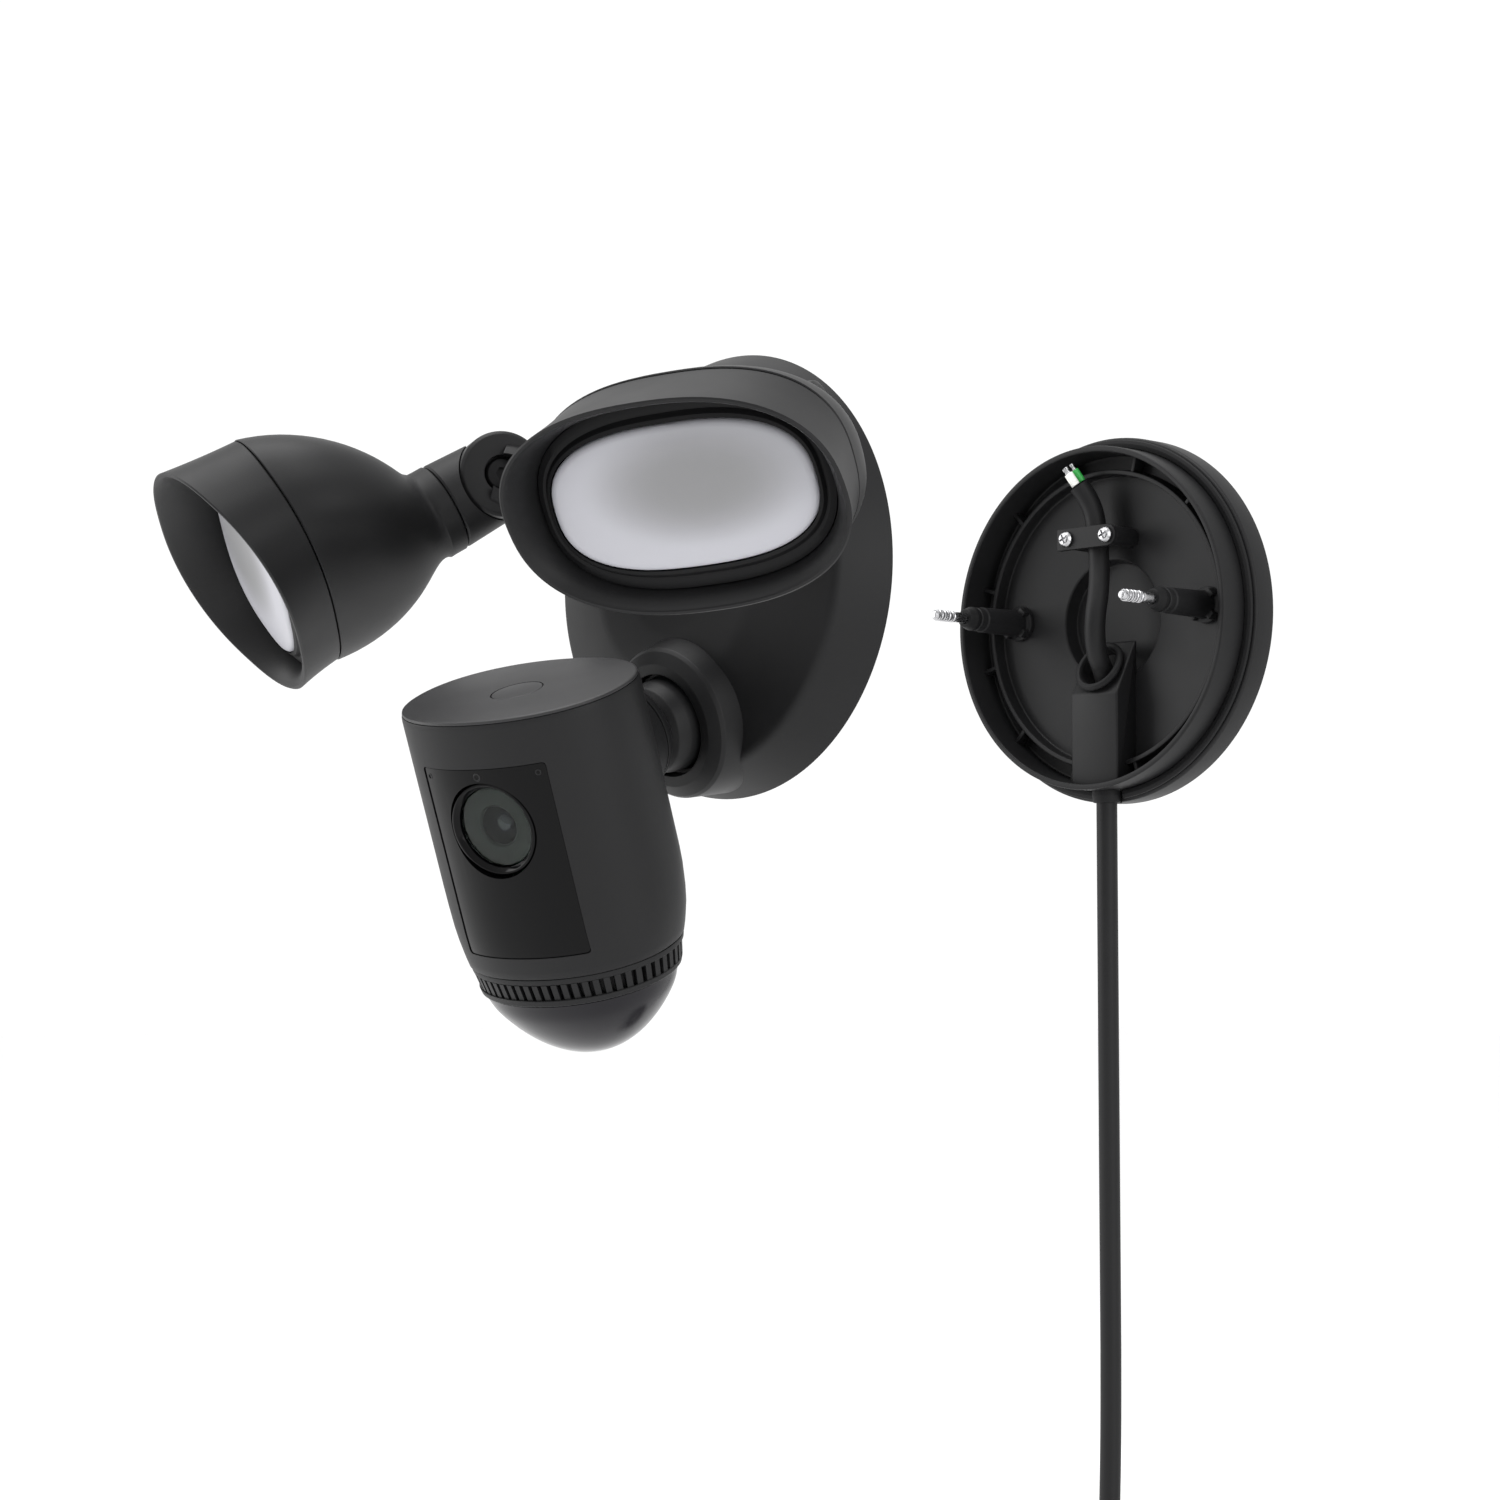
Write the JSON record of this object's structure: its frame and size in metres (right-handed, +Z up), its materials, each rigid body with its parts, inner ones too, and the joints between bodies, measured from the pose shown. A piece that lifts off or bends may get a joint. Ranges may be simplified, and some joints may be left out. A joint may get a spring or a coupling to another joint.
{
  "type": "floodlight security camera",
  "caption": "Wall plate with studs and mains cord, and a sliding round fixture with jointed floodlight heads and a ball-mounted camera with a motion-sensor dome.",
  "frame": {"origin": "centre of the wall plate's wall face", "axes": "+Y into the wall, -Y towards the viewer, +X to the right seen from the front, +Z up"},
  "size_m": [0.3052, 0.3489, 0.5687],
  "materials": {
    "housing_charcoal": "matte",
    "top_satin": "satin",
    "panel_gloss": "gloss",
    "dome_gloss": "gloss",
    "lens_glass": "polished",
    "diffuser_white": "satin",
    "rubber_black": "matte",
    "cord_black": "matte",
    "wire_white": "satin",
    "wire_green": "satin",
    "screw_steel": "satin",
    "bolt_black": "satin",
    "contact_brass": "satin",
    "sink_aluminium": "satin",
    "board_green": "satin",
    "liner_nylon": "satin"
  },
  "bodies": {
    "wall_mount": {"wall_plate": "housing_charcoal", "rim_gasket": "rubber_black", "lead_grommet": "rubber_black", "inner_lead": "cord_black", "terminal_live": "wire_white", "terminal_neutral": "wire_white", "terminal_earth": "wire_green", "clamp_bar": "housing_charcoal", "clamp_screw_left": "screw_steel", "clamp_screw_right": "screw_steel", "stud_sleeve_left": "housing_charcoal", "stud_left": "screw_steel", "stud_sleeve_right": "housing_charcoal", "stud_right": "screw_steel", "cord_bushing": "rubber_black", "power_cord": "cord_black", "cord_coil": "cord_black", "coil_tie": "rubber_black", "plug_body": "rubber_black", "plug_blade_live": "contact_brass", "plug_blade_neutral": "contact_brass", "plug_earth_pin": "contact_brass"},
    "fixture": {"base_housing": "housing_charcoal", "driver_board": "board_green", "driver_cover": "housing_charcoal"},
    "left_arm": {"left_arm": "housing_charcoal", "left_knuckle_bolt": "bolt_black"},
    "left_knuckle": {"left_knuckle": "housing_charcoal"},
    "left_head": {"left_rear_shell": "housing_charcoal", "left_hood": "housing_charcoal", "left_bezel": "housing_charcoal", "left_lens": "diffuser_white", "left_led_board": "board_green", "left_heat_sink": "sink_aluminium"},
    "right_arm": {"right_arm": "housing_charcoal", "right_knuckle_bolt": "bolt_black"},
    "right_knuckle": {"right_knuckle": "housing_charcoal"},
    "right_head": {"right_rear_shell": "housing_charcoal", "right_hood": "housing_charcoal", "right_bezel": "housing_charcoal", "right_lens": "diffuser_white", "right_led_board": "board_green", "right_heat_sink": "sink_aluminium"},
    "camera_stem": {"camera_ball_stem": "housing_charcoal"},
    "camera_liner": {"socket_liner": "liner_nylon"},
    "camera": {"camera_shell": "housing_charcoal", "socket_ring": "housing_charcoal", "top_cap": "top_satin", "front_panel": "panel_gloss", "lens_ring": "panel_gloss", "lens_window": "lens_glass", "lens_barrel": "panel_gloss", "main_board": "board_green", "image_sensor": "board_green", "speaker": "screw_steel", "grille_ring": "housing_charcoal", "sensor_dome": "dome_gloss", "sensor_board": "board_green"},
    "button": {"setup_button": "top_satin"}
  },
  "joints": [
    {"name": "fixture_slide", "type": "slide", "parent": "wall_mount", "child": "fixture", "axis": [0, 1, 0], "range_m": [0, 0.179]},
    {"name": "left_arm_swivel", "type": "hinge", "parent": "fixture", "child": "left_arm", "pos_m": [-0.035, -0.2153, 0.023], "axis": [-0.6458, -0.7077, 0.2866], "range_deg": [-25, 25]},
    {"name": "left_knuckle_tilt", "type": "hinge", "parent": "left_arm", "child": "left_knuckle", "pos_m": [-0.0666, -0.2404, 0.0344], "axis": [0.8886, -0.4587, 0], "range_deg": [-30, 10]},
    {"name": "left_head_turn", "type": "hinge", "parent": "left_knuckle", "child": "left_head", "pos_m": [-0.0666, -0.2404, 0.0344], "axis": [-0.3931, -0.7617, -0.515], "range_deg": [-100, 60]},
    {"name": "right_arm_swivel", "type": "hinge", "parent": "fixture", "child": "right_arm", "pos_m": [0.035, -0.2153, 0.023], "axis": [0.6458, -0.7077, 0.2866], "range_deg": [-25, 25]},
    {"name": "right_knuckle_tilt", "type": "hinge", "parent": "right_arm", "child": "right_knuckle", "pos_m": [0.0666, -0.2404, 0.0344], "axis": [0.8886, 0.4587, 0], "range_deg": [-30, 10]},
    {"name": "right_head_turn", "type": "hinge", "parent": "right_knuckle", "child": "right_head", "pos_m": [0.0666, -0.2404, 0.0344], "axis": [0.3931, -0.7617, -0.515], "range_deg": [-80, 80]},
    {"name": "camera_turn", "type": "hinge", "parent": "fixture", "child": "camera_stem", "pos_m": [0, -0.2487, -0.0562], "axis": [0, -0.9553, -0.2957], "range_deg": [-35, 35]},
    {"name": "camera_tilt", "type": "hinge", "parent": "camera_stem", "child": "camera_liner", "pos_m": [0, -0.2487, -0.0562], "axis": [0.9677, 0.2521, 0], "range_deg": [-16, 6]},
    {"name": "camera_pan", "type": "hinge", "parent": "camera_liner", "child": "camera", "pos_m": [0, -0.2487, -0.0562], "axis": [0.0993, -0.3812, 0.9191], "range_deg": [-14, 3]},
    {"name": "button_press", "type": "slide", "parent": "camera", "child": "button", "axis": [-0.0993, 0.3812, -0.9191], "range_m": [0, 0.0008], "stiffness_N_per_m": 600, "springref_m": -0.0012}
  ]
}
